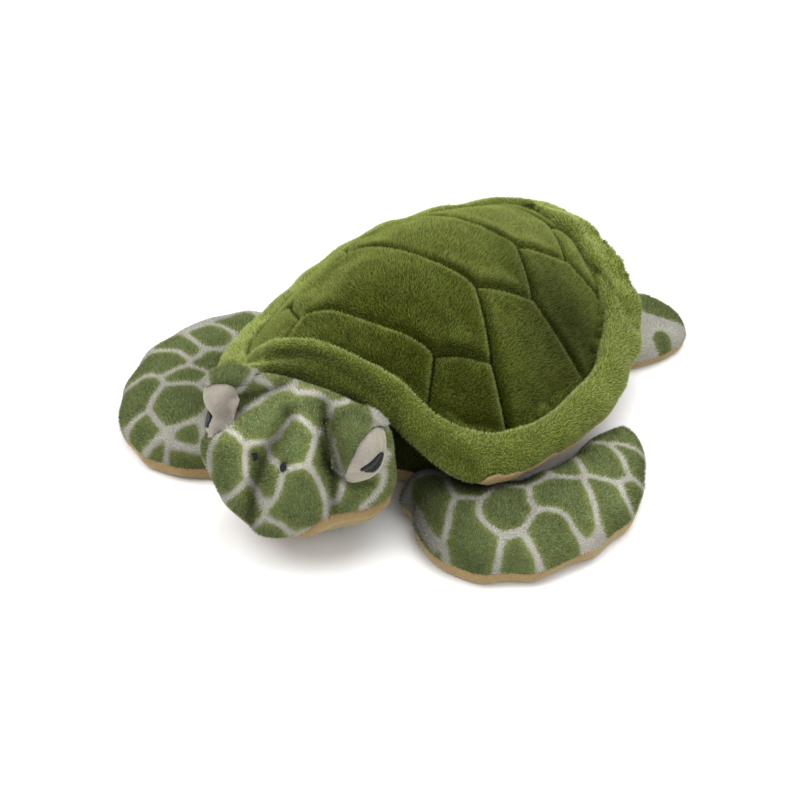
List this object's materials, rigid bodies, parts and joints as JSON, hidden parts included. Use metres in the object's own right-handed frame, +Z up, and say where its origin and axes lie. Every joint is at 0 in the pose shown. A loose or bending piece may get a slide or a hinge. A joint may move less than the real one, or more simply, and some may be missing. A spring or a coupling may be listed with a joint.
{
  "type": "plush sea turtle",
  "caption": "Plush sea turtle lying flat with raised head: quilted domed shell with padded brim, four padded flippers, tail and stitched face; head and limbs flex at their seams",
  "frame": {"origin": "Centre of the flat patch of the belly that rests on the floor", "axes": "+Z up; the head points along -Y; +X is the turtle's left side"},
  "size_m": [0.4158, 0.4366, 0.1536],
  "materials": {
    "shell_plush": "short dense plush pile, dark olive",
    "brim_plush": "short dense plush pile, lighter olive",
    "skin_plush": "short plush pile printed with rounded green patches on cream",
    "neck_plush": "short plush pile, dark green",
    "tan_velour": "smooth low-pile velour, tan",
    "cream_velour": "smooth velour, cream",
    "black_felt": "smooth embroidered felt, near black",
    "fibre_fill": "loose polyester fibre, white"
  },
  "bodies": {
    "root": {"shell_panel": "shell_plush", "shell_wadding": "fibre_fill", "brim_band": "brim_plush", "brim_wadding": "fibre_fill", "brim_underside": "tan_velour", "belly_panel": "tan_velour", "side_panel": "neck_plush", "body_filling": "fibre_fill"},
    "neck": {"neck_sleeve": "neck_plush", "neck_filling": "fibre_fill"},
    "head": {"head_top": "skin_plush", "head_jaw": "tan_velour", "head_filling": "fibre_fill", "eye_patch_left": "cream_velour", "eye_patch_right": "cream_velour", "pupil_left": "black_felt", "pupil_right": "black_felt", "eyelid_left": "skin_plush", "eyelid_right": "skin_plush", "nostril_left": "black_felt", "nostril_right": "black_felt"},
    "front_flipper_left": {"front_flipper_left_top": "skin_plush", "front_flipper_left_underside": "tan_velour", "front_flipper_left_filling": "fibre_fill"},
    "front_flipper_right": {"front_flipper_right_top": "skin_plush", "front_flipper_right_underside": "tan_velour", "front_flipper_right_filling": "fibre_fill"},
    "rear_flipper_left": {"rear_flipper_left_top": "skin_plush", "rear_flipper_left_underside": "tan_velour", "rear_flipper_left_filling": "fibre_fill"},
    "rear_flipper_right": {"rear_flipper_right_top": "skin_plush", "rear_flipper_right_underside": "tan_velour", "rear_flipper_right_filling": "fibre_fill"},
    "tail": {"tail_top": "skin_plush", "tail_underside": "tan_velour", "tail_filling": "fibre_fill"}
  },
  "joints": [
    {"name": "neck_nod", "type": "hinge", "parent": "root", "child": "neck", "pos_m": [0, -0.1, 0.058], "axis": [-1, 0, 0], "range_deg": [-12, 4], "stiffness_Nm_per_rad": 0.8},
    {"name": "head_turn", "type": "hinge", "parent": "neck", "child": "head", "pos_m": [0, -0.1, 0.058], "axis": [0, 0, 1], "range_deg": [-8, 8], "stiffness_Nm_per_rad": 0.8},
    {"name": "front_flipper_left_flap", "type": "hinge", "parent": "root", "child": "front_flipper_left", "pos_m": [0.07, -0.098, 0.0155], "axis": [-0.1724, -0.985, 0], "range_deg": [-25, 4], "stiffness_Nm_per_rad": 0.15},
    {"name": "front_flipper_right_flap", "type": "hinge", "parent": "root", "child": "front_flipper_right", "pos_m": [-0.07, -0.098, 0.0155], "axis": [-0.1724, 0.985, 0], "range_deg": [-25, 4], "stiffness_Nm_per_rad": 0.15},
    {"name": "rear_flipper_left_flap", "type": "hinge", "parent": "root", "child": "rear_flipper_left", "pos_m": [0.082, 0.15, 0.012], "axis": [0.464, -0.8858, 0], "range_deg": [-20, 6], "stiffness_Nm_per_rad": 0.12},
    {"name": "rear_flipper_right_flap", "type": "hinge", "parent": "root", "child": "rear_flipper_right", "pos_m": [-0.082, 0.15, 0.012], "axis": [0.464, 0.8858, 0], "range_deg": [-20, 6], "stiffness_Nm_per_rad": 0.12},
    {"name": "tail_flap", "type": "hinge", "parent": "root", "child": "tail", "pos_m": [0, 0.18, 0.01], "axis": [1, 0, 0], "range_deg": [-15, 15], "stiffness_Nm_per_rad": 0.06}
  ]
}
